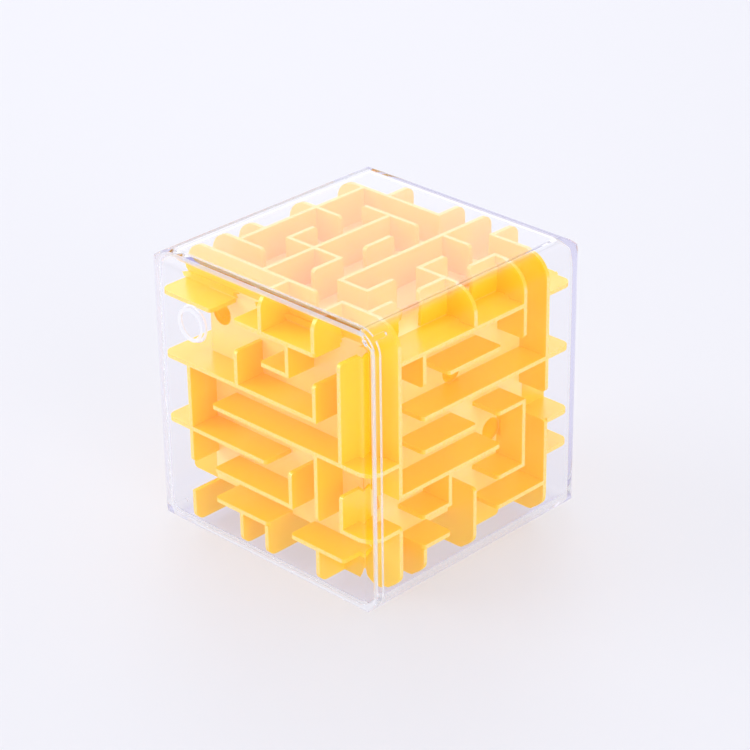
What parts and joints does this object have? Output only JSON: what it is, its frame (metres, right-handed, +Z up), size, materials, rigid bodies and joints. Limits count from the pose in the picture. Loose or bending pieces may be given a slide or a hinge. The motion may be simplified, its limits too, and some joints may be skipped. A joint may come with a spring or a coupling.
{
  "type": "ball maze cube",
  "caption": "Clear cube case with a press-on front lid around a hollow maze core of six walled panels, cross tunnels and a loose steel ball",
  "frame": {"origin": "middle of the case's underside", "axes": "+Z up; the press-on lid is the front and faces -Y; +X is to the right of the front"},
  "size_m": [0.055, 0.055, 0.055],
  "materials": {
    "clear_case": "clear moulded polystyrene, glossy, seen through",
    "maze_yellow": "warm yellow moulded plastic, slightly see-through at the thin wall tips",
    "ball_steel": "polished bearing steel"
  },
  "bodies": {
    "case": {"case_shell": "clear_case", "maze_panel_top": "maze_yellow", "maze_panel_bottom": "maze_yellow", "maze_panel_front": "maze_yellow", "maze_panel_back": "maze_yellow", "maze_panel_left": "maze_yellow", "maze_panel_right": "maze_yellow", "tunnel_tube_upper": "maze_yellow", "tunnel_tube_lower": "maze_yellow", "tunnel_corner_duct": "maze_yellow"},
    "lid": {"case_lid": "clear_case"},
    "ball": {"steel_ball": "ball_steel"}
  },
  "joints": [
    {"name": "lid_pull", "type": "slide", "parent": "case", "child": "lid", "axis": [0, -1, 0], "range_m": [0, 0.06]},
    {"name": "ball_run", "type": "slide", "parent": "case", "child": "ball", "axis": [1, 0, 0], "range_m": [-0.0056, 0.0287]}
  ]
}
